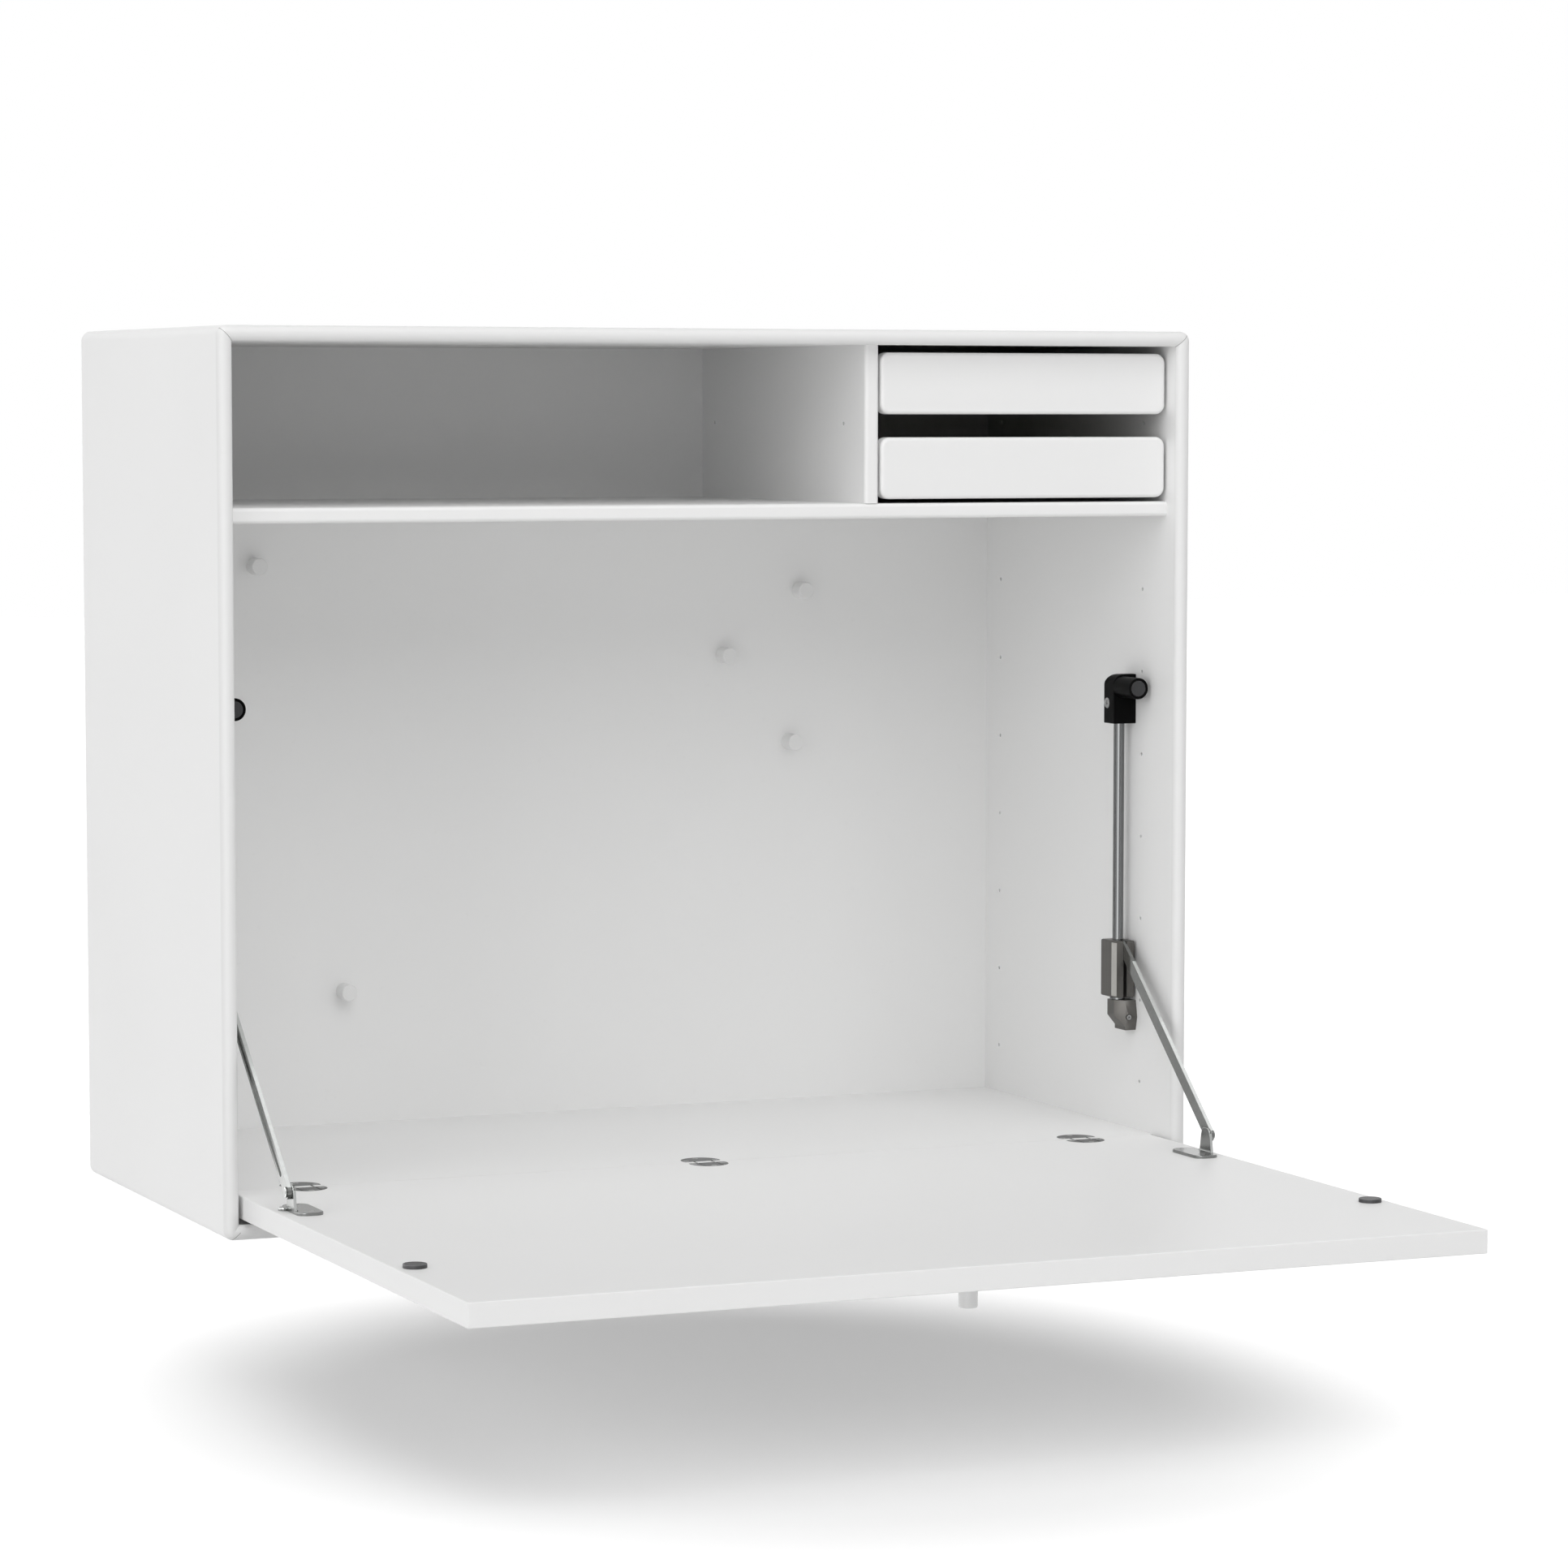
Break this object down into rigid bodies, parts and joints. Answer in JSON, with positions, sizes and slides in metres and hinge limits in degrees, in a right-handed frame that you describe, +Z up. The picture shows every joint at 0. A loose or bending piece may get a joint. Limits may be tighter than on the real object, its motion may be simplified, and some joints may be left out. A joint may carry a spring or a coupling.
{
  "type": "fold down wall desk",
  "caption": "Shallow wall cabinet whose front flap folds down into a desk on sliding stays, with small drawers and an open niche above it, hung from a wall rail.",
  "frame": {"origin": "middle of the wall rail's rear face, on the wall, where the rail's hole pattern is centred", "axes": "+X to the right seen from the room, +Y into the wall, +Z up"},
  "size_m": [0.824, 0.8837, 0.7015],
  "materials": {
    "lacquered_board": "satin white lacquer",
    "back_board": "satin white lacquer",
    "drawer_face": "satin white lacquer",
    "drawer_box": "satin",
    "bare_wood": "bare",
    "runner_strip": "waxed",
    "peg_paint": "satin white lacquer",
    "knob_white": "gloss",
    "rail_steel": "zinc plated",
    "nickel_steel": "nickel plated",
    "dark_steel": "dark",
    "screw_steel": "plated",
    "black_plastic": "matte",
    "magnet_grey": "satin",
    "bright_chrome": "polished",
    "grey_zinc": "satin",
    "brushed_steel": "brushed",
    "grey_steel": "satin nickel",
    "disc_grey": "satin"
  },
  "bodies": {
    "cabinet": {"back_panel": "back_board", "back_pegs": "peg_paint", "back_screws": "screw_steel", "bottom_panel": "lacquered_board", "floor_board": "lacquered_board", "hanger_rail": "rail_steel", "hinge_anchor_pins": "screw_steel", "hinge_rear_screws": "screw_steel", "left_hinge_links": "dark_steel", "left_hinge_rear_cup": "nickel_steel", "left_side_panel": "lacquered_board", "left_stay_barrel": "black_plastic", "left_stay_elbow": "black_plastic", "left_stay_guide_rod": "bright_chrome", "left_stay_socket": "grey_zinc", "lower_drawer_runners": "runner_strip", "lower_spacer": "bare_wood", "middle_hinge_links": "dark_steel", "middle_hinge_rear_cup": "nickel_steel", "middle_shelf": "lacquered_board", "niche_divider": "lacquered_board", "panel_dowels": "bare_wood", "right_hinge_links": "dark_steel", "right_hinge_rear_cup": "nickel_steel", "right_side_panel": "lacquered_board", "right_stay_barrel": "black_plastic", "right_stay_elbow": "black_plastic", "right_stay_guide_rod": "bright_chrome", "right_stay_socket": "grey_zinc", "runner_screws": "screw_steel", "stay_bracket_screws": "screw_steel", "stay_magnets": "magnet_grey", "top_panel": "lacquered_board", "upper_drawer_runners": "runner_strip", "wall_rail": "rail_steel"},
    "flap": {"catch_discs": "disc_grey", "flap_board": "lacquered_board", "flap_knob": "knob_white", "hinge_front_screws": "screw_steel", "hinge_pivot_pins": "screw_steel", "left_hinge_front_cup": "nickel_steel", "left_stay_foot": "grey_steel", "middle_hinge_front_cup": "nickel_steel", "right_hinge_front_cup": "nickel_steel", "right_stay_foot": "grey_steel", "stay_foot_screws": "screw_steel", "stay_foot_studs": "brushed_steel"},
    "lower_drawer": {"lower_drawer_bottom": "drawer_box", "lower_drawer_front": "drawer_face", "lower_drawer_walls": "drawer_box"},
    "upper_drawer": {"upper_drawer_bottom": "drawer_box", "upper_drawer_front": "drawer_face", "upper_drawer_walls": "drawer_box"},
    "left_carriage": {"left_stay_carriage": "grey_zinc", "left_stay_rivet": "brushed_steel"},
    "right_carriage": {"right_stay_carriage": "grey_zinc", "right_stay_rivet": "brushed_steel"},
    "left_arm": {"left_stay_arm": "brushed_steel"},
    "right_arm": {"right_stay_arm": "brushed_steel"}
  },
  "joints": [
    {"name": "flap_fold", "type": "hinge", "parent": "cabinet", "child": "flap", "pos_m": [0, -0.3637, -0.608], "axis": [-1, 0, 0], "range_deg": [0, 90]},
    {"name": "lower_drawer_slide", "type": "slide", "parent": "cabinet", "child": "lower_drawer", "axis": [0, -1, 0], "range_m": [0, 0.24]},
    {"name": "upper_drawer_slide", "type": "slide", "parent": "cabinet", "child": "upper_drawer", "axis": [0, -1, 0], "range_m": [0, 0.24]},
    {"name": "left_carriage_slide", "type": "slide", "parent": "cabinet", "child": "left_carriage", "axis": [0, 0, 1], "range_m": [0, 0.1505]},
    {"name": "left_arm_hinge", "type": "hinge", "parent": "flap", "child": "left_arm", "pos_m": [-0.3885, -0.4645, -0.5909], "axis": [1, 0, 0], "range_deg": [0, 128.1]},
    {"name": "right_carriage_slide", "type": "slide", "parent": "cabinet", "child": "right_carriage", "axis": [0, 0, 1], "range_m": [0, 0.1505]},
    {"name": "right_arm_hinge", "type": "hinge", "parent": "flap", "child": "right_arm", "pos_m": [0.3885, -0.4645, -0.5909], "axis": [1, 0, 0], "range_deg": [0, 128.1]}
  ],
  "couplings": [
    {"joint": "left_carriage_slide", "follows": "flap_fold", "m_per_rad": 0.095589},
    {"joint": "left_arm_hinge", "follows": "flap_fold", "ratio": 1.4224},
    {"joint": "right_carriage_slide", "follows": "flap_fold", "m_per_rad": 0.095589},
    {"joint": "right_arm_hinge", "follows": "flap_fold", "ratio": 1.4224}
  ]
}
